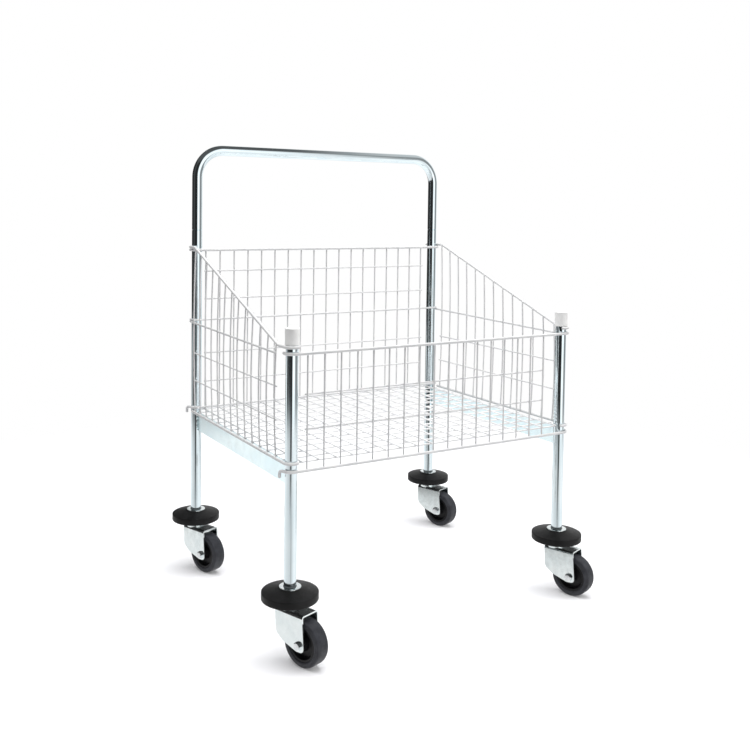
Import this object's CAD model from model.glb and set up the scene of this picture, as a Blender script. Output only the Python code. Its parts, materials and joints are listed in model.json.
import json
import math
import random

import bmesh
import bpy
from mathutils import Matrix, Vector


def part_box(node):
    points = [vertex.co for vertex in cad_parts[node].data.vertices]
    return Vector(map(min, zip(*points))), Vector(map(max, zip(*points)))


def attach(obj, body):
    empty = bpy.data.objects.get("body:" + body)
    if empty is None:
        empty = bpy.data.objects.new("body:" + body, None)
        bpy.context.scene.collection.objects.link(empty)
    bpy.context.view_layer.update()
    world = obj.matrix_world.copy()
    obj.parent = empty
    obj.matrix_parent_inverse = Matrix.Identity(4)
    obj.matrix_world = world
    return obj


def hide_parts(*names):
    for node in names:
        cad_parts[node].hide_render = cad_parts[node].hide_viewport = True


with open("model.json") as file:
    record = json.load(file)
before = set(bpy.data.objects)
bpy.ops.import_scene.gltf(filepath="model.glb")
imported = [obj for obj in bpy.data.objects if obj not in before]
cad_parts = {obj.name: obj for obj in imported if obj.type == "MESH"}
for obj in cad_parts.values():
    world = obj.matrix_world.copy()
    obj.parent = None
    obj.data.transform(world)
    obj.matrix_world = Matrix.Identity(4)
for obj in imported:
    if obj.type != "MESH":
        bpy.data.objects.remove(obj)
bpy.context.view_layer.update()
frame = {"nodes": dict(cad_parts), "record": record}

# ---- Driving sizes in metres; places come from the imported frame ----

CORNERS = ("front_left", "front_right", "rear_left", "rear_right")

# Wires are given by their radius; the laps are how far one wire's end passes the next
FRAME_WIRE = 0.00275
HOOK_WIRE = 0.002
MESH_WIRE = 0.0015
POST_GAP = 0.00025
WIRE_LAP = 0.0012
ROW_LAP = 0.003
WELD_SINK = 0.0005
WELD_BEAD = 0.0021
WELD_RUN = 0.0016
WELD_WANDER = 0.0002

# Centre distances between welded wires
FRAME_TO_MESH = FRAME_WIRE + MESH_WIRE - WELD_SINK
MESH_TO_MESH = 2 * MESH_WIRE - WELD_SINK

# How far round a post each wire curls, and the hooked tails of the bottom wires
WRAP = math.radians(120)
TAIL_WRAP = math.radians(68)
TAIL_OUT = 0.008
TAIL_BEND = 0.006
TAIL_DROP = 0.0055

# Heights, first columns and pitches of the five panels
FRONT = dict(frame_z=(0.530,), bottom_z=0.328, hook_z=(), row_z=(0.3985, 0.4585),
             columns=17, first_x=-0.280, pitch=0.0331)
BACK = dict(frame_z=(0.686,), bottom_z=0.349, hook_z=(0.537,), row_z=(0.4045, 0.4655, 0.5815, 0.641),
            columns=18, first_x=-0.289, pitch=0.0326)
SIDE = dict(front_z=0.541, rear_z=0.692, bottom_z=0.342, hook_front_z=0.526, hook_rear_z=0.5324,
            row_z=(0.4087, 0.4675), columns=13, left_first_y=-0.1895, right_first_y=-0.1985,
            pitch=0.0333, level=0.025, end_gap=0.014, bow=0.0035)
FLOOR = dict(columns=18, rows=13, pitch=0.034, edge_y=0.233, end_y=0.2375, reach=0.003)

# Tube frame: BREAK is the width of a broken edge, SLIDE_FIT the gap round a part that slides on
TUBE_WALL = 0.0012
HANDLE_BEND = 0.058
BREAK = 0.0004
JOINT_BREAK = 0.0012
SLIDE_FIT = 0.00005

# Castors: FORK_HALF is half the fork's width, WHEEL_SIDE half the tread's
FORK_HALF = 0.020
FORK_SKIN = 0.0025
FORK_BEND = 0.005
CUP_RADIUS = 0.0195
CUP_RISE = 0.0045
KINGPIN_HOLE = 0.00508
STEM_HOLE = 0.00605
BOLT_ROD = 0.004
BOLT_HEX = 0.0075
BOLT_HEAD = 0.0053
NUT_DEPTH = 0.0065
WHEEL_SIDE = 0.014
TREAD_BORE = 0.02952
HUB_RADIUS = 0.0295
HUB_BOSS = 0.011
BUSH_HOLE = 0.00608
BUFFER_RIM = 0.013


# ---- Points and paths ----

def centre(node):
    low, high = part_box(node)
    return (low + high) / 2


def arc(middle, radius, start, end, z, step=math.radians(7)):
    """Points round an upright axis, from angle start to angle end."""
    count = max(2, round(abs(end - start) / step))
    angles = [start + (end - start) * i / count for i in range(count + 1)]
    return [Vector((middle[0] + radius * math.cos(a), middle[1] + radius * math.sin(a), z)) for a in angles]


def rounded(corners, radii, closed=True, steps=6):
    """Corner points with each corner turned into an arc of its own radius."""
    points = []
    for i, corner in enumerate(corners):
        radius = radii[i] if isinstance(radii, (list, tuple)) else radii
        inner = closed or 0 < i < len(corners) - 1
        corner = Vector(corner)
        if radius == 0 or not inner:
            points.append(corner)
            continue
        back = (Vector(corners[i - 1]) - corner).normalized()
        ahead = (Vector(corners[(i + 1) % len(corners)]) - corner).normalized()
        half = back.angle(ahead) / 2
        middle = corner + (back + ahead).normalized() * radius / math.sin(half)
        first = corner + back * radius / math.tan(half) - middle
        last = corner + ahead * radius / math.tan(half) - middle
        turn = first.angle(last)
        for k in range(steps + 1):
            t = k / steps
            near = first * math.sin((1 - t) * turn)
            far = last * math.sin(t * turn)
            points.append(middle + (near + far) / math.sin(turn))
    return points


# ---- Closed meshes ----

def new_object(name, verts, faces):
    mesh = bpy.data.meshes.new(name)
    mesh.from_pydata([tuple(v) for v in verts], [], faces)
    bm = bmesh.new()
    bm.from_mesh(mesh)
    bmesh.ops.recalc_face_normals(bm, faces=bm.faces)
    bm.to_mesh(mesh)
    bm.free()
    return bpy.data.objects.new(name, mesh)


def band(start_a, count_a, start_b, count_b):
    """Faces between two rings, where a ring of one point is a pole."""
    faces = []
    for i in range(max(count_a, count_b)):
        j = (i + 1) % max(count_a, count_b)
        if count_a == 1:
            faces.append((start_a, start_b + i, start_b + j))
        elif count_b == 1:
            faces.append((start_a + i, start_a + j, start_b))
        else:
            faces.append((start_a + i, start_a + j, start_b + j, start_b + i))
    return faces


def skin(name, rings, closed=False):
    """Closed solid through successive rings; closed joins the last ring to the first."""
    verts = []
    faces = []
    starts = []
    for ring in rings:
        starts.append(len(verts))
        verts.extend(ring)
    pairs = [(i, i + 1) for i in range(len(rings) - 1)]
    if closed:
        pairs.append((len(rings) - 1, 0))
    for a, b in pairs:
        faces.extend(band(starts[a], len(rings[a]), starts[b], len(rings[b])))
    return new_object(name, verts, faces)


def path_frames(path):
    """Place, direction and two cross directions at each point of a path, without twist."""
    points = [Vector(p) for p in path]
    frames = []
    side = None
    for i, point in enumerate(points):
        before = points[max(i - 1, 0)]
        after = points[min(i + 1, len(points) - 1)]
        ahead = (after - before).normalized()
        if side is None:
            side = ahead.orthogonal()
        side = (side - ahead * side.dot(ahead)).normalized()
        frames.append((point, ahead, side, ahead.cross(side)))
    return frames


def ring_at(place, radius, sides, shift=0.0):
    point, ahead, side, up = place
    middle = point + ahead * shift
    angles = [2 * math.pi * i / sides for i in range(sides)]
    return [middle + radius * (math.cos(a) * side + math.sin(a) * up) for a in angles]


def wire(path, radius, sides=12, dome=0.6):
    """Round wire along a path, with softened ends."""
    frames = path_frames(path)
    rings = [[frames[0][0] - frames[0][1] * radius * dome]]
    for angle in (60, 30):
        a = math.radians(angle)
        rings.append(ring_at(frames[0], radius * math.cos(a), sides, -radius * dome * math.sin(a)))
    rings.extend(ring_at(place, radius, sides) for place in frames)
    for angle in (30, 60):
        a = math.radians(angle)
        rings.append(ring_at(frames[-1], radius * math.cos(a), sides, radius * dome * math.sin(a)))
    rings.append([frames[-1][0] + frames[-1][1] * radius * dome])
    return skin("wire", rings)


def pipe(name, path, radius, wall, chamfer, sides=96):
    """Open tube along a path, with its outer ends broken."""
    frames = path_frames(path)
    rings = [ring_at(frames[0], radius - chamfer, sides), ring_at(frames[0], radius, sides, chamfer)]
    rings.extend(ring_at(place, radius, sides) for place in frames[1:-1])
    rings.append(ring_at(frames[-1], radius, sides, -chamfer))
    rings.append(ring_at(frames[-1], radius - chamfer, sides))
    rings.extend(ring_at(place, radius - wall, sides) for place in reversed(frames))
    return skin(name, rings, closed=True)


def lathe(name, profile, sides=96, axis="Z"):
    """Turned solid: profile points are (radius, height); radius 0 is a pole."""
    rings = []
    for radius, height in profile:
        if radius == 0:
            rings.append([Vector((0, 0, height))])
        else:
            angles = [2 * math.pi * i / sides for i in range(sides)]
            rings.append([Vector((radius * math.cos(a), radius * math.sin(a), height)) for a in angles])
    obj = skin(name, rings, closed=profile[0][0] > 0)
    if axis == "X":
        obj.data.transform(Matrix.Rotation(math.pi / 2, 4, "Y"))
    return obj


def rod(radius, start, end, sides=96, axis="Z"):
    """Plain round bar along an axis."""
    return lathe("rod", [(0, start), (radius, start), (radius, end), (0, end)], sides, axis)


def prism(name, outline, depth, axis):
    """Flat outline given depth on both sides of its plane; axis X takes (y, z), axis Y takes (x, z)."""
    def place(point, reach):
        if axis == "X":
            return (reach, point[0], point[1])
        if axis == "Y":
            return (point[0], reach, point[1])
        return (point[0], point[1], reach)
    count = len(outline)
    verts = [place(p, -depth) for p in outline] + [place(p, depth) for p in outline]
    faces = [tuple(range(count)), tuple(range(count, 2 * count))]
    for i in range(count):
        j = (i + 1) % count
        faces.append((i, j, count + j, count + i))
    return new_object(name, verts, faces)


def blob(place, radius, squash, flat_axis):
    """Flattened bead of weld metal, squashed along one axis."""
    rings = []
    for k in range(7):
        a = math.pi * k / 6 - math.pi / 2
        if k in (0, 6):
            rings.append([Vector((0, 0, radius * squash * math.sin(a)))])
        else:
            r = radius * math.cos(a)
            turns = [2 * math.pi * i / 10 for i in range(10)]
            rings.append([Vector((r * math.cos(t), r * math.sin(t), radius * squash * math.sin(a)))
                          for t in turns])
    obj = skin("blob", rings)
    if flat_axis == "X":
        obj.data.transform(Matrix.Rotation(math.pi / 2, 4, "Y"))
    if flat_axis == "Y":
        obj.data.transform(Matrix.Rotation(math.pi / 2, 4, "X"))
    obj.data.transform(Matrix.Translation(place))
    return obj


def combine(base, tools, operation):
    """Applies one boolean of base with all the tools, and drops the tools."""
    group = bpy.data.collections.new("tools")
    bpy.context.scene.collection.children.link(group)
    bpy.context.scene.collection.objects.link(base)
    for tool in tools:
        group.objects.link(tool)
    modifier = base.modifiers.new("boolean", "BOOLEAN")
    modifier.operation = operation
    modifier.solver = "MANIFOLD"
    modifier.operand_type = "COLLECTION"
    modifier.collection = group
    graph = bpy.context.evaluated_depsgraph_get()
    mesh = bpy.data.meshes.new_from_object(base.evaluated_get(graph))
    base.modifiers.clear()
    base.data = mesh
    bpy.context.scene.collection.objects.unlink(base)
    for tool in tools:
        bpy.data.objects.remove(tool)
    bpy.data.collections.remove(group)
    return base


def union(name, parts):
    whole = combine(parts[0], parts[1:], "UNION")
    whole.name = name
    return whole


def cut(base, *tools):
    return combine(base, tools, "DIFFERENCE")


def overlap(name, a, b):
    whole = combine(a, [b], "INTERSECT")
    whole.name = name
    return whole


def soften(obj, width, angle=40):
    """Breaks the sharp edges of a piece."""
    modifier = obj.modifiers.new("edges", "BEVEL")
    modifier.width = width
    modifier.segments = 2
    modifier.limit_method = "ANGLE"
    modifier.angle_limit = math.radians(angle)
    modifier.harden_normals = True


def add_piece(obj, name, body, material, replaced=()):
    """Names a finished piece, gives it its finish and hangs it on its body."""
    obj.name = name
    obj.data.name = name
    if obj.name not in bpy.context.scene.collection.objects:
        bpy.context.scene.collection.objects.link(obj)
    obj.data.polygons.foreach_set("use_smooth", [True] * len(obj.data.polygons))
    obj.data.set_sharp_from_angle(angle=math.radians(35))
    obj.data.materials.clear()
    obj.data.materials.append(material)
    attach(obj, body)
    if replaced:
        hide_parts(*replaced)
    return obj


# ---- Finishes ----

class Finish:
    """A Principled material built up from procedural nodes."""

    def __init__(self, name, metallic=0.0, specular=0.5):
        self.material = bpy.data.materials.new(name)
        self.material.use_nodes = True
        self.tree = self.material.node_tree
        self.shader = self.tree.nodes["Principled BSDF"]
        self.shader.inputs["Metallic"].default_value = metallic
        self.shader.inputs["Specular IOR Level"].default_value = specular
        self.coords = self.tree.nodes.new("ShaderNodeTexCoord").outputs["Object"]

    def link(self, source, target):
        self.tree.links.new(source, target)

    def noise(self, scale, stretch=(1, 1, 1), detail=4.0, distortion=0.0):
        mapping = self.tree.nodes.new("ShaderNodeMapping")
        mapping.inputs["Scale"].default_value = stretch
        self.link(self.coords, mapping.inputs["Vector"])
        node = self.tree.nodes.new("ShaderNodeTexNoise")
        node.inputs["Scale"].default_value = scale
        node.inputs["Detail"].default_value = detail
        node.inputs["Distortion"].default_value = distortion
        self.link(mapping.outputs["Vector"], node.inputs["Vector"])
        return node.outputs["Fac"]

    def remap(self, source, low, high, out_low, out_high):
        node = self.tree.nodes.new("ShaderNodeMapRange")
        node.inputs["From Min"].default_value = low
        node.inputs["From Max"].default_value = high
        node.inputs["To Min"].default_value = out_low
        node.inputs["To Max"].default_value = out_high
        self.link(source, node.inputs["Value"])
        return node.outputs["Result"]

    def mix(self, factor, first, second):
        node = self.tree.nodes.new("ShaderNodeMix")
        node.data_type = "RGBA"
        self.link(factor, node.inputs["Factor"])
        for slot, colour in (("A", first), ("B", second)):
            socket = [s for s in node.inputs if s.name == slot and s.type == "RGBA"][0]
            if isinstance(colour, tuple):
                socket.default_value = (*colour, 1)
            else:
                self.link(colour, socket)
        return [s for s in node.outputs if s.type == "RGBA"][0]

    def edge_mask(self, radius):
        """1 along rounded edges, 0 on open faces."""
        bevel = self.tree.nodes.new("ShaderNodeBevel")
        bevel.inputs["Radius"].default_value = radius
        bevel.samples = 8
        plain = self.tree.nodes.new("ShaderNodeNewGeometry")
        dot = self.tree.nodes.new("ShaderNodeVectorMath")
        dot.operation = "DOT_PRODUCT"
        self.link(bevel.outputs["Normal"], dot.inputs[0])
        self.link(plain.outputs["Normal"], dot.inputs[1])
        return self.remap(dot.outputs["Value"], 0.98, 0.85, 0.0, 1.0)

    def clouds(self, first, second, scale, spread=0.2, **settings):
        """Colour that drifts between two tones."""
        factor = self.remap(self.noise(scale, **settings), 0.5 - spread, 0.5 + spread, 0, 1)
        return self.mix(factor, first, second)

    def colour(self, source):
        self.link(source, self.shader.inputs["Base Color"])

    def roughness(self, source, low, high):
        self.link(self.remap(source, 0.3, 0.7, low, high), self.shader.inputs["Roughness"])

    def fade(self, near, far):
        """Lets the finish turn clear between two distances from the middle of the piece."""
        length = self.tree.nodes.new("ShaderNodeVectorMath")
        length.operation = "LENGTH"
        self.link(self.coords, length.inputs[0])
        clear = self.tree.nodes.new("ShaderNodeBsdfTransparent")
        blend = self.tree.nodes.new("ShaderNodeMixShader")
        self.link(self.remap(length.outputs["Value"], near, far, 0.0, 1.0), blend.inputs[0])
        self.link(self.shader.outputs["BSDF"], blend.inputs[1])
        self.link(clear.outputs["BSDF"], blend.inputs[2])
        self.link(blend.outputs["Shader"], self.tree.nodes["Material Output"].inputs["Surface"])

    def bump(self, source, depth):
        node = self.tree.nodes.new("ShaderNodeBump")
        node.inputs["Distance"].default_value = depth
        node.inputs["Strength"].default_value = 1.0
        self.link(source, node.inputs["Height"])
        self.link(node.outputs["Normal"], self.shader.inputs["Normal"])


def tube_zinc():
    """Bright plated tube: mirror-like, with fine draw lines and faint clouding."""
    finish = Finish("tube_zinc", metallic=1.0)
    finish.colour(finish.clouds((0.80, 0.88, 0.91), (0.72, 0.82, 0.86), 14, spread=0.15, detail=5))
    streaks = finish.noise(260, stretch=(1, 1, 0.02), detail=3)
    finish.roughness(streaks, 0.05, 0.11)
    finish.bump(streaks, 0.000003)
    return finish.material


def rail_zinc():
    """Flat bar with a pale blue passivated coat in soft clouds."""
    finish = Finish("rail_zinc", metallic=1.0)
    finish.colour(finish.clouds((0.86, 0.98, 1.0), (0.76, 0.91, 0.96), 22, stretch=(1, 0.5, 1.6), detail=6,
                                distortion=0.6))
    finish.roughness(finish.noise(60, detail=5), 0.12, 0.24)
    return finish.material


def castor_zinc():
    """Pressed steel with a satin zinc coat, brighter along its worn edges."""
    finish = Finish("castor_zinc", metallic=1.0)
    base = finish.clouds((0.90, 0.95, 0.95), (0.78, 0.85, 0.86), 34, detail=5, distortion=0.4)
    finish.colour(finish.mix(finish.edge_mask(0.0006), base, (0.95, 0.96, 0.96)))
    finish.roughness(finish.noise(120), 0.14, 0.26)
    return finish.material


def coated_wire(name, brightness):
    """White powder coat with a faint orange-peel skin."""
    finish = Finish(name)
    full = (brightness, brightness, brightness)
    hollow = (0.91 * brightness, 0.915 * brightness, 0.93 * brightness)
    finish.colour(finish.clouds(full, hollow, 30, spread=0.15, detail=3))
    finish.roughness(finish.noise(300), 0.3, 0.46)
    finish.bump(finish.noise(1400, detail=2), 0.00004)
    finish.shader.inputs["Coat Weight"].default_value = 0.2
    finish.shader.inputs["Coat Roughness"].default_value = 0.2
    return finish.material


def cap_plastic():
    """Moulded pale polyethylene, slightly soft to light."""
    finish = Finish("cap_plastic")
    finish.colour(finish.clouds((0.83, 0.83, 0.82), (0.77, 0.77, 0.765), 90))
    finish.roughness(finish.noise(500, detail=3), 0.36, 0.5)
    finish.bump(finish.noise(1600, detail=2), 0.00003)
    finish.shader.inputs["Subsurface Weight"].default_value = 0.1
    finish.shader.inputs["Subsurface Radius"].default_value = (0.002, 0.002, 0.002)
    return finish.material


def dark_plastic(name, colour):
    """Dark moulded nylon with a fine grain."""
    finish = Finish(name, specular=0.25)
    finish.colour(finish.clouds(colour, tuple(1.35 * c for c in colour), 120))
    finish.roughness(finish.noise(400), 0.34, 0.5)
    finish.bump(finish.noise(2200, detail=2), 0.00005)
    return finish.material


def plain_steel():
    """Bright zinc-plated hardware with fine turning marks."""
    finish = Finish("plain_steel", metallic=1.0)
    finish.colour(finish.clouds((0.84, 0.86, 0.87), (0.70, 0.73, 0.75), 160))
    finish.roughness(finish.noise(700, detail=3), 0.14, 0.3)
    finish.bump(finish.noise(1500, detail=2), 0.00001)
    return finish.material


def buffer_rubber():
    """Near-black rubber, a little paler and shinier on its rubbed edge."""
    finish = Finish("buffer_rubber", specular=0.2)
    base = finish.clouds((0.005, 0.005, 0.005), (0.010, 0.010, 0.0105), 60, detail=5)
    finish.colour(finish.mix(finish.edge_mask(0.0008), base, (0.03, 0.03, 0.031)))
    finish.roughness(finish.noise(350), 0.4, 0.56)
    finish.bump(finish.noise(1800, detail=3), 0.00005)
    return finish.material


def tread_rubber():
    """Blue-grey tyre rubber, dusty on the running face."""
    finish = Finish("tread_rubber", specular=0.3)
    finish.colour(finish.clouds((0.024, 0.025, 0.030), (0.042, 0.044, 0.052), 80, detail=6))
    finish.roughness(finish.noise(300, detail=5), 0.46, 0.66)
    finish.bump(finish.noise(1500), 0.00008)
    return finish.material


MATERIALS = {
    "tube_zinc": tube_zinc(),
    "rail_zinc": rail_zinc(),
    "castor_zinc": castor_zinc(),
    "coated_wire": coated_wire("coated_wire", 0.67),
    "cap_plastic": cap_plastic(),
    "socket_plastic": dark_plastic("socket_plastic", (0.10, 0.115, 0.12)),
    "plain_steel": plain_steel(),
    "buffer_rubber": buffer_rubber(),
    "hub_plastic": dark_plastic("hub_plastic", (0.008, 0.008, 0.009)),
    "tread_rubber": tread_rubber(),
}
FLOOR_COAT = coated_wire("coated_floor_wire", 0.82)


def piece(obj, name, body, slot, *replaced):
    return add_piece(obj, name, body, MATERIALS[slot], replaced)


# ---- Tube frame ----

POST = {corner: centre(corner + "_post") for corner in CORNERS}
POST_X = POST["front_right"].x
POST_Y = POST["rear_right"].y
POST_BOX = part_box("front_right_post")
TUBE = (POST_BOX[1].x - POST_BOX[0].x) / 2
FRAME_RUN = TUBE + FRAME_WIRE + POST_GAP
HOOK_RUN = TUBE + HOOK_WIRE + POST_GAP


def build_posts():
    for corner in CORNERS:
        node = corner + "_post"
        low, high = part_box(node)
        x, y = POST[corner].x, POST[corner].y
        tube = pipe(node, [(x, y, low.z), (x, y, high.z)], TUBE, TUBE_WALL, BREAK)
        piece(tube, node + "_tube", "frame", "tube_zinc", node)


def build_handle():
    low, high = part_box("handle_hoop")
    bar_z = high.z - TUBE
    corners = [(-POST_X, POST_Y, low.z), (-POST_X, POST_Y, bar_z), (POST_X, POST_Y, bar_z),
               (POST_X, POST_Y, low.z)]
    path = rounded(corners, HANDLE_BEND, closed=False, steps=18)
    hoop = pipe("handle", path, TUBE, TUBE_WALL, JOINT_BREAK)
    piece(hoop, "push_handle", "frame", "tube_zinc", "handle_hoop")


def cap_profile(outer, height):
    """Hollow cap: from its inner ceiling down to the lip, then up outside to the rounded crown."""
    inner = TUBE + SLIDE_FIT
    ceiling = height - 0.003
    lip = outer + 0.0002
    crown = rounded([(outer, 0.002), (outer, height), (0.001, height)], 0.0009, closed=False)
    profile = [(0, ceiling), (inner - 0.001, ceiling), (inner, ceiling - 0.001), (inner, 0.0004),
               (inner + 0.0004, 0), (outer - 0.0002, 0), (lip, 0.0005), (lip, 0.0016)]
    return profile + [tuple(p) for p in crown[:-1]] + [(0, height)]


def build_caps():
    for corner in ("front_left", "front_right"):
        node = corner + "_cap"
        low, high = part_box(node)
        cap = lathe(node, cap_profile((high.x - low.x) / 2, high.z - low.z))
        cap.data.transform(Matrix.Translation((POST[corner].x, POST[corner].y, low.z)))
        piece(cap, node + "_moulding", "frame", "cap_plastic", node)


def rail_weld(x, y, toward, low_z, high_z, rng):
    """Run of weld metal down the joint between a rail and a post."""
    path = []
    count = 14
    for i in range(count + 1):
        across = rng.uniform(-WELD_WANDER, WELD_WANDER)
        along = toward * rng.uniform(-WELD_WANDER, WELD_WANDER)
        path.append((x + across, y + along, low_z + (high_z - low_z) * i / count))
    return wire(path, WELD_RUN, sides=10, dome=0.9)


def rail_bar(name, x, half_t, low, high):
    """Flat bar from post to post, hollowed at both ends to sit against the tubes."""
    bar = prism(name, [(-POST_Y, low.z), (POST_Y, low.z), (POST_Y, high.z), (-POST_Y, high.z)], half_t, "X")
    bar.data.transform(Matrix.Translation((x, 0, 0)))
    holes = []
    for y in (-POST_Y, POST_Y):
        hole = rod(TUBE + SLIDE_FIT, low.z - 0.01, high.z + 0.01)
        hole.data.transform(Matrix.Translation((x, y, 0)))
        holes.append(hole)
    return cut(bar, *holes)


def build_rails():
    rng = random.Random(4)
    for side, name in ((-1, "left"), (1, "right")):
        node = name + "_shelf_rail"
        low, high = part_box(node)
        half_t = (high.x - low.x) / 2
        x = side * POST_X
        bar = piece(rail_bar(node, x, half_t, low, high), node + "_bar", "frame", "rail_zinc", node)
        soften(bar, BREAK)
        beads = []
        for end in (-1, 1):
            for face in (-1, 1):
                bead_x = x + face * (half_t + 0.0002)
                bead_y = end * (POST_Y - TUBE + 0.0001)
                beads.append(rail_weld(bead_x, bead_y, end, low.z + 0.003, high.z - 0.003, rng))
        piece(union("welds", beads), node + "_welds", "frame", "rail_zinc")


# ---- Wire basket ----

def post_wire_path(y, z, run, wrap):
    """Level wire across the two posts on their front side, curled round their outer sides."""
    front = -math.pi / 2
    left = arc((-POST_X, y), run, front - wrap, front, z)
    right = arc((POST_X, y), run, front, front + wrap, z)
    return left + right


def tail_path(end, outward):
    """Points that carry a wire's end outward and bend it down."""
    level = end + outward * TAIL_OUT
    points = [level]
    for degrees in range(15, 91, 15):
        a = math.radians(degrees)
        drop = Vector((0, 0, math.cos(a) - 1))
        points.append(level + TAIL_BEND * (math.sin(a) * outward + drop))
    points.append(points[-1] - Vector((0, 0, TAIL_DROP)))
    return points


def bottom_wire_path(y, z):
    core = post_wire_path(y, z, FRAME_RUN, TAIL_WRAP)
    out, back = math.cos(TAIL_WRAP), math.sin(TAIL_WRAP)
    left = tail_path(core[0], Vector((-out, back, 0)))
    right = tail_path(core[-1], Vector((out, back, 0)))
    return left[::-1] + core + right


def welds(places, axis):
    return [blob(place, WELD_BEAD, 0.62, axis) for place in places]


def facing_panel(name, node, y, toward, spec, column_y):
    """Front or back panel: framing wires, uprights and rows; toward is the side its rows lie on."""
    parts = []
    parts += [wire(post_wire_path(y, z, FRAME_RUN, WRAP), FRAME_WIRE, 16) for z in spec["frame_z"]]
    parts += [wire(post_wire_path(y, z, HOOK_RUN, WRAP), HOOK_WIRE, 14) for z in spec["hook_z"]]
    parts.append(wire(bottom_wire_path(y, spec["bottom_z"]), FRAME_WIRE, 16))
    columns = [spec["first_x"] + i * spec["pitch"] for i in range(spec["columns"])]
    row_y = column_y + toward * MESH_TO_MESH
    top = spec["frame_z"][0] + WIRE_LAP
    bottom = spec["bottom_z"] - WIRE_LAP
    for x in columns:
        parts.append(wire([(x, column_y, bottom), (x, column_y, top)], MESH_WIRE))
    for z in spec["row_z"]:
        parts.append(wire([(columns[0] - ROW_LAP, row_y, z), (columns[-1] + ROW_LAP, row_y, z)], MESH_WIRE))
    places = [(x, (column_y + row_y) / 2, z) for x in columns for z in spec["row_z"]]
    edge_y = column_y - MESH_WIRE + WELD_SINK / 2
    heights = spec["frame_z"] + spec["hook_z"] + (spec["bottom_z"],)
    places += [(x, edge_y, z) for x in columns for z in heights]
    return piece(union(name, parts + welds(places, "Y")), name, "frame", "coated_wire", node)


def side_top(y):
    """Height of the sloping top wire at a place along the side."""
    span = 2 * POST_Y - 2 * SIDE["level"]
    part = (y + POST_Y - SIDE["level"]) / span
    return SIDE["front_z"] + (SIDE["rear_z"] - SIDE["front_z"]) * max(0, min(1, part))


def side_bow(y, z):
    """How far the mesh of a side stands out between its top and bottom wires."""
    part = (z - SIDE["bottom_z"]) / (side_top(y) - SIDE["bottom_z"])
    part = max(0, min(1, part))
    return SIDE["bow"] * 4 * part * (1 - part)


def side_frame(first):
    """Framing wires of a side: sloping top, level bottom, and the hook wire from the first upright back."""
    x = POST_X + FRAME_RUN
    front, rear = (POST_X, -POST_Y), (POST_X, POST_Y)
    slope = [Vector((x, -POST_Y, SIDE["front_z"])), Vector((x, -POST_Y + SIDE["level"], SIDE["front_z"])),
             Vector((x, POST_Y - SIDE["level"], SIDE["rear_z"])), Vector((x, POST_Y, SIDE["rear_z"]))]
    top_path = arc(front, FRAME_RUN, -WRAP, 0, SIDE["front_z"])[:-1]
    top_path += rounded(slope, 0.022, closed=False)
    top_path += arc(rear, FRAME_RUN, 0, WRAP, SIDE["rear_z"])[1:]
    bottom_path = arc(front, FRAME_RUN, -WRAP, 0, SIDE["bottom_z"])
    bottom_path.append(Vector((x, POST_Y - SIDE["end_gap"], SIDE["bottom_z"])))
    hook_path = [Vector((POST_X + HOOK_RUN, first - 0.004, SIDE["hook_front_z"]))]
    hook_path += arc(rear, HOOK_RUN, 0, WRAP, SIDE["hook_rear_z"])
    framing = [wire(path, FRAME_WIRE, 16) for path in (top_path, bottom_path)]
    return framing + [wire(hook_path, HOOK_WIRE, 14)]


def side_upright(x, y, steps=10):
    """Upright wire of a side, bowed outward."""
    low = SIDE["bottom_z"] - WIRE_LAP
    high = side_top(y) + WIRE_LAP
    heights = [low + (high - low) * i / steps for i in range(steps + 1)]
    return wire([(x + side_bow(y, z), y, z) for z in heights], MESH_WIRE)


def side_panel(side, first, name, node):
    """One side, drawn on the right and mirrored for the left, with its uprights from first on."""
    column_x = POST_X + FRAME_RUN - FRAME_TO_MESH
    row_x = column_x - MESH_TO_MESH
    columns = [first + i * SIDE["pitch"] for i in range(SIDE["columns"])]
    parts = side_frame(first)
    parts += [side_upright(column_x, y) for y in columns]
    for z in SIDE["row_z"]:
        ends = [first - ROW_LAP] + columns + [columns[-1] + ROW_LAP]
        parts.append(wire([(row_x + side_bow(y, z), y, z) for y in ends], MESH_WIRE))
    crossing_x = column_x - MESH_TO_MESH / 2
    edge_x = column_x + MESH_WIRE - WELD_SINK / 2
    places = [(crossing_x + side_bow(y, z), y, z) for y in columns for z in SIDE["row_z"]]
    places += [(edge_x, y, z) for y in columns for z in (side_top(y), SIDE["bottom_z"])]
    panel = union(name, parts + welds(places, "X"))
    if side < 0:
        panel.data.transform(Matrix.Scale(-1, 4, (1, 0, 0)))
        panel.data.flip_normals()
    return piece(panel, name, "frame", "coated_wire", node)


def floor_grid():
    """Two layers of wire: rows that lie on the rails, and columns over them."""
    rail_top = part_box("left_shelf_rail")[1].z
    row_z = rail_top + MESH_WIRE
    column_z = row_z + MESH_TO_MESH
    xs = [(i - (FLOOR["columns"] - 1) / 2) * FLOOR["pitch"] for i in range(FLOOR["columns"])]
    ys = [(i - (FLOOR["rows"] - 1) / 2) * FLOOR["pitch"] for i in range(FLOOR["rows"])]
    reach = POST_X + FLOOR["reach"]
    short = POST_X - TUBE - 0.002
    rows = [(y, reach) for y in ys] + [(-FLOOR["edge_y"], short), (FLOOR["edge_y"], short)]
    parts = [wire([(x, -FLOOR["end_y"], column_z), (x, FLOOR["end_y"], column_z)], MESH_WIRE) for x in xs]
    parts += [wire([(-half, y, row_z), (half, y, row_z)], MESH_WIRE) for y, half in rows]
    places = [(x, y, (row_z + column_z) / 2) for x in xs for y, half in rows]
    grid = union("floor_grid_wires", parts + welds(places, "Z"))
    add_piece(grid, "floor_grid_wires", "frame", FLOOR_COAT, ("floor_grid",))


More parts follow.
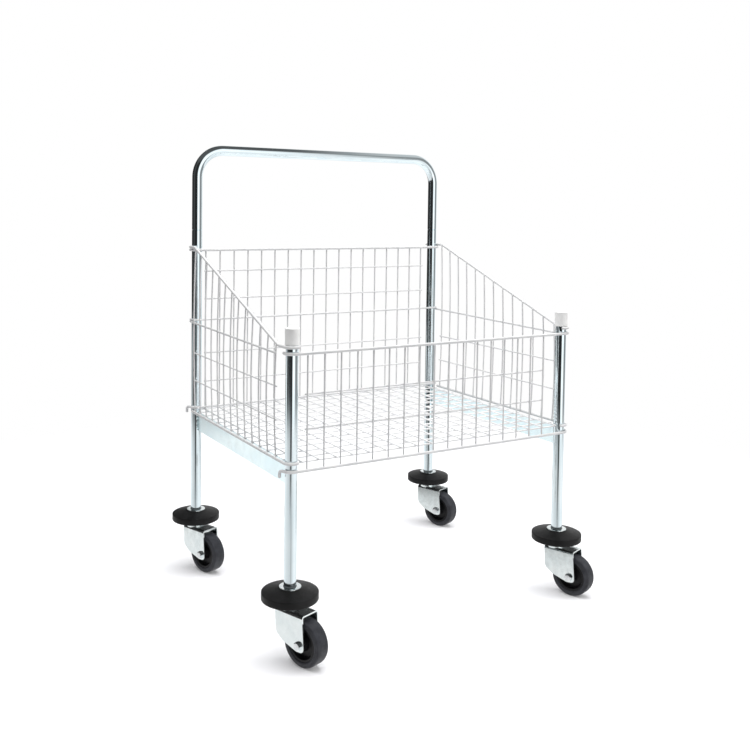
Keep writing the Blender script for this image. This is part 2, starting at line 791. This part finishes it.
def build_basket():
    front_y = -POST_Y - FRAME_RUN + FRAME_TO_MESH
    facing_panel("front_panel_wires", "front_panel", -POST_Y, 1, FRONT, front_y)
    back_y = POST_Y - FRAME_RUN + FRAME_TO_MESH
    facing_panel("back_panel_wires", "back_panel", POST_Y, -1, BACK, back_y)
    side_panel(-1, SIDE["left_first_y"], "left_side_wires", "left_side_panel")
    side_panel(1, SIDE["right_first_y"], "right_side_wires", "right_side_panel")
    floor_grid()


# ---- Castors, drawn about the post's axis with the axle along X and trailing to -Y ----

class Castor:
    """Where one castor stands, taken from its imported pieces."""

    def __init__(self, corner):
        self.corner = corner
        wheel = centre(corner + "_tread")
        self.post = Vector((POST[corner].x, POST[corner].y, 0))
        away = Vector((wheel.x, wheel.y, 0)) - self.post
        self.trail = away.length
        self.heading = math.atan2(away.y, away.x) + math.pi / 2
        self.axle_z = wheel.z
        self.place = Matrix.Translation(self.post) @ Matrix.Rotation(self.heading, 4, "Z")
        self.axle = self.place @ Matrix.Translation((0, -self.trail, self.axle_z))


def build_buffer(castor):
    node = castor.corner + "_buffer"
    low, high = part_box(node)
    radius = (high.x - low.x) / 2
    base = low.z
    top = high.z - base
    profile = rounded(
        [(BUSH_HOLE, 0.0), (0.014, 0.0), (0.016, 0.004), (radius - 0.007, 0.004), (radius - 0.0055, 0.0),
         (radius, 0.0), (radius, BUFFER_RIM), (0.0215, top - 0.0006), (0.0198, top), (BUSH_HOLE, top)],
        [0, 0.0006, 0.0008, 0.0012, 0.0008, 0.0014, 0.0007, 0.0012, 0.0006, 0], steps=5)
    disc = lathe(node, profile, sides=128)
    disc.data.transform(Matrix.Translation(castor.post + Vector((0, 0, base))))
    piece(disc, node + "_disc", castor.corner + "_buffer_disc", "buffer_rubber", node)


def fork_section(top):
    """U section across the fork, as a closed outline of (x, z)."""
    low = top - 0.08
    inner = FORK_HALF - FORK_SKIN
    ceiling = top - FORK_SKIN
    corners = [(-FORK_HALF, low), (-FORK_HALF, top), (FORK_HALF, top), (FORK_HALF, low), (inner, low),
               (inner, ceiling), (-inner, ceiling), (-inner, low)]
    inside_bend = FORK_BEND - FORK_SKIN
    radii = [0, FORK_BEND, FORK_BEND, 0, 0, inside_bend, inside_bend, 0]
    return rounded(corners, radii, steps=8)


def fork_outline(castor, top):
    """Side of the fork, as a closed outline of (y, z)."""
    trail, z = -castor.trail, castor.axle_z
    corners = [(0.016, top + 0.001), (trail - 0.008, top + 0.001), (trail - 0.0128, z - 0.0095),
               (trail + 0.0045, z - 0.0105), (-0.003, z - 0.0015), (0.0145, z + 0.0105)]
    return rounded(corners, [0.0001, 0.0001, 0.0078, 0.009, 0.03, 0.014], steps=8)


def fork_cup(top):
    """Dish pressed up from the fork's top plate, which holds the ball race."""
    bore, floor, rim, wall = 0.0052, top - FORK_SKIN + 0.0002, top + CUP_RISE, 0.0025
    inner = CUP_RADIUS - wall
    profile = [(bore, floor), (CUP_RADIUS, floor), (CUP_RADIUS, rim), (inner, rim), (inner, top - 0.0002),
               (bore, top - 0.0002)]
    return lathe("cup", rounded(profile, [0, 0.0012, 0.0011, 0.0011, 0.0012, 0]))


def build_fork(castor, top):
    node = castor.corner + "_fork"
    shell = prism("section", fork_section(top), 0.08, "Y")
    side = prism("outline", fork_outline(castor, top), FORK_HALF + 0.005, "X")
    kingpin = rod(KINGPIN_HOLE, top - 0.01, top + 0.01)
    axle = rod(BOLT_ROD + SLIDE_FIT, -0.05, 0.05, axis="X")
    axle.data.transform(Matrix.Translation((0, -castor.trail, castor.axle_z)))
    body = cut(overlap(node, shell, side), kingpin, axle)
    body = union(node, [body, fork_cup(top)])
    body.data.transform(castor.place)
    body = piece(body, node + "_pressing", castor.corner + "_castor", "castor_zinc", node)
    soften(body, 0.0005, angle=50)


def hexagon(radius):
    angles = [math.radians(a) for a in range(0, 360, 60)]
    return [(radius * math.cos(a), radius * math.sin(a)) for a in angles]


def hex_piece(radius, height, both):
    """Six-sided head along +X with its corners turned off at the end, or at both ends."""
    crown = height / 2
    body = prism("hex", hexagon(radius), crown, "Z")
    flat = radius * math.sqrt(0.75)
    outer = radius + 0.0002
    profile = [(0, -crown), (outer, -crown)]
    if both:
        profile = [(0, -crown), (flat - 0.0003, -crown), (outer, -crown + 0.0012)]
    profile += [(outer, crown - 0.0016), (flat - 0.0002, crown - 0.0002), (flat - 0.0016, crown), (0, crown)]
    shaped = overlap("hex", body, lathe("turned", profile, sides=72))
    shaped.data.transform(Matrix.Translation((0, 0, crown)))
    shaped.data.transform(Matrix.Rotation(math.pi / 2, 4, "Y"))
    return shaped


def thread_profile(radius, start, end, pitch=0.00125):
    """Profile of a rod whose end carries thread crests."""
    points = []
    x = start
    while x < end - pitch:
        points += [(radius, x + 0.0002), (radius - 0.0006, x + pitch / 2), (radius, x + pitch - 0.0002)]
        x += pitch
    return points + [(radius - 0.0008, end), (0, end)]


def build_bolt(castor):
    node = castor.corner + "_axle_bolt"
    head = hex_piece(BOLT_HEX, BOLT_HEAD, both=False)
    head.data.transform(Matrix.Rotation(math.pi, 4, "Z"))
    head.data.transform(Matrix.Translation((-FORK_HALF, 0, 0)))
    start = -FORK_HALF - 0.001
    thread = thread_profile(BOLT_ROD, FORK_HALF - 0.004, FORK_HALF + NUT_DEPTH + 0.002)
    shank = lathe("shank", [(0, start), (BOLT_ROD, start)] + thread, sides=48, axis="X")
    bolt = union(node, [head, shank])
    bolt.data.transform(castor.axle @ Matrix.Rotation(0.35, 4, "X"))
    piece(bolt, node + "_hex", castor.corner + "_castor", "plain_steel", node)


def build_nut(castor):
    node = castor.corner + "_axle_nut"
    nut = hex_piece(BOLT_HEX, NUT_DEPTH, both=True)
    nut = cut(nut, rod(BOLT_ROD + SLIDE_FIT, -0.01, 0.02, sides=48, axis="X"))
    nut.data.transform(Matrix.Translation((FORK_HALF, 0, 0)))
    nut.data.transform(castor.axle @ Matrix.Rotation(0.9, 4, "X"))
    piece(nut, node + "_hex", castor.corner + "_castor", "plain_steel", node)


def mirrored(profile):
    """Profile of (radius, place) followed by its own mirror image."""
    half = [(radius, place) for radius, place in profile]
    return half + [(radius, -place) for radius, place in reversed(half)]


def build_tread(castor):
    node = castor.corner + "_tread"
    radius = castor.axle_z
    wall = WHEEL_SIDE - 0.0005
    half_tread = rounded(
        [(TREAD_BORE, 0), (TREAD_BORE, WHEEL_SIDE - 0.0012), (TREAD_BORE + 0.0014, WHEEL_SIDE),
         (TREAD_BORE + 0.0038, WHEEL_SIDE), (TREAD_BORE + 0.0044, wall), (TREAD_BORE + 0.0056, wall),
         (radius - 0.0004, WHEEL_SIDE - 0.0010), (radius, WHEEL_SIDE - 0.0070), (radius, 0)],
        [0, 0.0005, 0.0006, 0.0003, 0.0003, 0.0006, 0.0026, 0.004, 0], steps=5)
    tread = lathe(node, mirrored(half_tread[1:-1]), sides=128, axis="X")
    tread.data.transform(castor.axle)
    piece(tread, node + "_tyre", castor.corner + "_wheel", "tread_rubber", node)


def build_hub(castor):
    node = castor.corner + "_hub"
    boss = FORK_HALF - FORK_SKIN - 0.0008
    rim = WHEEL_SIDE - 0.0015
    half_hub = rounded(
        [(BUSH_HOLE, 0), (BUSH_HOLE, boss), (HUB_BOSS, boss), (HUB_BOSS + 0.0012, 0.004), (0.0235, 0.004),
         (0.0256, rim), (HUB_RADIUS, rim), (HUB_RADIUS, 0)],
        [0, 0.0004, 0.0008, 0.002, 0.003, 0.0008, 0.0005, 0], steps=5)
    hub = lathe(node, mirrored(half_hub[1:-1]), sides=128, axis="X")
    hub.data.transform(castor.axle)
    piece(hub, node + "_moulding", castor.corner + "_wheel", "hub_plastic", node)


def one_at_each_post(name, profile, base):
    """The same turned part at all four posts, as one mesh."""
    parts = []
    for corner in CORNERS:
        part = lathe(name, profile)
        part.data.transform(Matrix.Translation((POST[corner].x, POST[corner].y, base)))
        parts.append(part)
    return union(name, parts)


def build_washers():
    low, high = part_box("buffer_washers")
    outer = high.x - POST_X
    top = high.z - low.z
    profile = rounded([(STEM_HOLE, 0), (outer, 0), (outer, top), (STEM_HOLE, top)], [0, 0.0004, 0.0008, 0],
                      steps=4)
    washers = one_at_each_post("washers", profile, low.z)
    piece(washers, "buffer_washer_plates", "frame", "castor_zinc", "buffer_washers")


def build_sockets():
    """Moulded sockets in the tubes' feet, with the stepped neck that shows above each washer."""
    low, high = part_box("stem_sockets")
    body_r = high.x - POST_X
    top = high.z - low.z
    profile = rounded(
        [(STEM_HOLE, 0), (body_r + 0.0020, 0), (body_r + 0.0020, 0.0008), (body_r, 0.0018), (body_r, top),
         (0.004, top), (0.004, top - 0.006), (STEM_HOLE, top - 0.008)],
        [0, 0.0003, 0.0004, 0.0005, 0.0008, 0.0004, 0.0004, 0.0004], steps=4)
    sockets = one_at_each_post("sockets", profile, low.z)
    piece(sockets, "stem_socket_mouldings", "frame", "socket_plastic", "stem_sockets")


def build_castors():
    for corner in CORNERS:
        castor = Castor(corner)
        build_buffer(castor)
        build_fork(castor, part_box(corner + "_fork")[1].z - CUP_RISE)
        build_bolt(castor)
        build_nut(castor)
        build_tread(castor)
        build_hub(castor)
    build_washers()
    build_sockets()


def finish_cad_nodes():
    """Gives each CAD node that stays the finish of its own slot."""
    for part in frame["record"]["subparts"]:
        for holder in frame["nodes"][part["node"]].material_slots:
            holder.link = "OBJECT"
            holder.material = MATERIALS[part["material_slot"]]


# ---- Studio ----

CAMERA_PLACE = (-0.9916, -1.6101, 0.7758)
CAMERA_YAW = math.radians(29.79)
CAMERA_DOWN = math.radians(2.53)
CAMERA_ROLL = math.radians(0.69)
CAMERA_LENS = 43.59
CAMERA_SHIFT = (0.0385, -0.1672)
FLOOR_RADIUS = 2.0
FLOOR_DEPTH = 0.005


def build_camera():
    data = bpy.data.cameras.new("camera")
    camera = bpy.data.objects.new("camera", data)
    bpy.context.scene.collection.objects.link(camera)
    forward = Vector((math.sin(CAMERA_YAW), math.cos(CAMERA_YAW), 0))
    ahead = forward * math.cos(CAMERA_DOWN) - Vector((0, 0, math.sin(CAMERA_DOWN)))
    right = Vector((math.cos(CAMERA_YAW), -math.sin(CAMERA_YAW), 0))
    up = right.cross(ahead)
    across = math.cos(CAMERA_ROLL) * right + math.sin(CAMERA_ROLL) * up
    upward = math.cos(CAMERA_ROLL) * up - math.sin(CAMERA_ROLL) * right
    turn = Matrix((across, upward, -ahead)).transposed().to_4x4()
    camera.matrix_world = Matrix.Translation(CAMERA_PLACE) @ turn
    data.sensor_width = 36
    data.lens = CAMERA_LENS
    data.shift_x, data.shift_y = CAMERA_SHIFT
    data.clip_start = 0.05
    bpy.context.scene.camera = camera


def build_floor():
    """Round pale floor that fades into the white surround."""
    angles = [math.pi * i / 32 for i in range(64)]
    floor = prism("studio_floor", [(FLOOR_RADIUS * math.cos(a), FLOOR_RADIUS * math.sin(a)) for a in angles],
                  FLOOR_DEPTH, "Z")
    floor.data.transform(Matrix.Translation((0, 0, -FLOOR_DEPTH)))
    bpy.context.scene.collection.objects.link(floor)
    finish = Finish("studio_floor", specular=0.1)
    finish.shader.inputs["Base Color"].default_value = (0.80, 0.80, 0.82, 1)
    finish.shader.inputs["Roughness"].default_value = 0.9
    finish.bump(finish.noise(40, detail=3), 0.0001)
    finish.shader.inputs["Emission Color"].default_value = (1, 1, 1, 1)
    finish.shader.inputs["Emission Strength"].default_value = 0.15
    finish.fade(0.9, 1.6)
    floor.data.materials.append(finish.material)
    floor.visible_glossy = False


def area_light(name, place, target, size, power, colour=(1, 1, 1)):
    """Square light aimed at a target, unseen by the camera and in the metal."""
    data = bpy.data.lights.new(name, "AREA")
    data.shape = "SQUARE"
    data.size = size
    data.energy = power
    data.color = colour
    light = bpy.data.objects.new(name, data)
    bpy.context.scene.collection.objects.link(light)
    light.location = place
    light.rotation_euler = (Vector(target) - Vector(place)).to_track_quat("-Z", "Y").to_euler()
    light.visible_glossy = False
    light.visible_camera = False


class WorldNodes:
    """Small helpers that build up the world's node tree."""

    def __init__(self, tree):
        self.tree = tree
        self.rays = self.node("ShaderNodeTexCoord").outputs["Generated"]

    def node(self, kind, **settings):
        made = self.tree.nodes.new(kind)
        for key, value in settings.items():
            setattr(made, key, value)
        return made

    def feed(self, socket, value):
        if isinstance(value, (int, float)):
            socket.default_value = value
        else:
            self.tree.links.new(value, socket)

    def calc(self, operation, a, b):
        made = self.node("ShaderNodeMath", operation=operation)
        self.feed(made.inputs[0], a)
        self.feed(made.inputs[1], b)
        return made.outputs[0]

    def along(self, direction):
        """How far each ray points along a direction, from -1 to 1."""
        made = self.node("ShaderNodeVectorMath", operation="DOT_PRODUCT")
        self.tree.links.new(self.rays, made.inputs[0])
        made.inputs[1].default_value = direction
        return made.outputs["Value"]

    def between(self, value, low, high):
        """Smooth step from 0 at low to 1 at high."""
        made = self.node("ShaderNodeMapRange", interpolation_type="SMOOTHSTEP")
        self.tree.links.new(value, made.inputs["Value"])
        made.inputs["From Min"].default_value = low
        made.inputs["From Max"].default_value = high
        return made.outputs["Result"]

    def blend(self, factor, a, b):
        made = self.node("ShaderNodeMix", data_type="FLOAT")
        self.tree.links.new(factor, made.inputs["Factor"])
        self.feed(made.inputs["A"], a)
        self.feed(made.inputs["B"], b)
        return made.outputs["Result"]

    def bands(self, turn, levels):
        """Brightness round the horizon: (degrees to the right of the camera, level) pairs."""
        ramp = self.node("ShaderNodeValToRGB")
        self.tree.links.new(turn, ramp.inputs["Fac"])
        points = ramp.color_ramp.elements
        while len(points) < len(levels):
            points.new(0.5)
        for point, (degrees, level) in zip(points, levels):
            point.position = degrees / 360 + 0.5
            point.color = (level, level, level, 1)
        return ramp.outputs["Color"]


UPPER_BANDS = ((-180, 0.9), (-170, 0.9), (-160, 0.03), (-76, 0.03), (-68, 0.07), (-52, 0.07), (-44, 0.025),
               (10, 0.025), (18, 1.3), (54, 1.3), (65, 0.3), (112, 0.3), (124, 1.1), (180, 0.9))
LOWER_BANDS = ((-180, 1.05), (-128, 1.05), (-60, 0.85), (0, 0.74), (11, 0.52), (34, 0.84), (70, 1.1),
               (110, 1.1), (140, 0.9), (180, 1.0))
NOTCHED_BANDS = ((-180, 1.05), (-110, 1.05), (-60, 0.8), (-26, 0.7), (-10, 0.04), (6, 0.04), (16, 0.9),
                 (70, 1.1), (180, 0.9))
RAISED_HORIZON = ((-180, 0), (-128, 0), (-122, 0.1), (-100, 0.1), (-94, 0), (180, 0))


def mirrored_surround(world, height):
    """What the metal mirrors: dark flags above the horizon, pale floor below it, a ceiling overhead."""
    toward_camera = world.along((-math.sin(CAMERA_YAW), -math.cos(CAMERA_YAW), 0))
    to_right = world.along((math.cos(CAMERA_YAW), -math.sin(CAMERA_YAW), 0))
    azimuth = world.calc("ARCTAN2", to_right, toward_camera)
    turn = world.calc("ADD", world.calc("DIVIDE", azimuth, 2 * math.pi), 0.5)
    near = world.blend(world.between(height, -0.34, -0.27), world.bands(turn, LOWER_BANDS),
                       world.bands(turn, NOTCHED_BANDS))
    lifted = world.calc("SUBTRACT", height, world.bands(turn, RAISED_HORIZON))
    around = world.blend(world.between(lifted, -0.26, -0.20), near, world.bands(turn, UPPER_BANDS))
    overhead = world.blend(world.between(world.along((1, 0, 0)), 0.42, 0.58), 0.1, 0.65)
    mirror = world.blend(world.between(height, 0.50, 0.72), around, overhead)
    return world.blend(world.between(height, -0.85, -0.5), 1.2, mirror)


def build_world():
    """White surround for the camera, soft light for matt surfaces, bands for what the metal mirrors."""
    made = bpy.data.worlds.new("studio")
    bpy.context.scene.world = made
    made.use_nodes = True
    made.node_tree.nodes.clear()
    world = WorldNodes(made.node_tree)
    height = world.along((0, 0, 1))
    soft = world.calc("ADD", world.calc("MULTIPLY", height, 0.2), 0.21)
    paths = world.node("ShaderNodeLightPath").outputs
    seen = world.blend(paths["Is Glossy Ray"], soft, mirrored_surround(world, height))
    background = world.node("ShaderNodeBackground")
    background.inputs["Color"].default_value = (1, 1, 1, 1)
    world.feed(background.inputs["Strength"], world.blend(paths["Is Camera Ray"], seen, 1.0))
    output = world.node("ShaderNodeOutputWorld")
    world.feed(output.inputs["Surface"], background.outputs["Background"])


def build_studio():
    build_camera()
    build_floor()
    build_world()
    area_light("overhead", (0, 0, 2.6), (0, 0, 0), 3.0, 115)
    area_light("key", (2.4, -1.3, 1.7), (0, 0, 0.3), 1.2, 34, (1.0, 0.99, 0.97))
    bpy.context.scene.view_settings.view_transform = "Standard"


# ---- The cart ----

build_posts()
build_handle()
build_caps()
build_rails()
build_basket()
build_castors()
finish_cad_nodes()
build_studio()
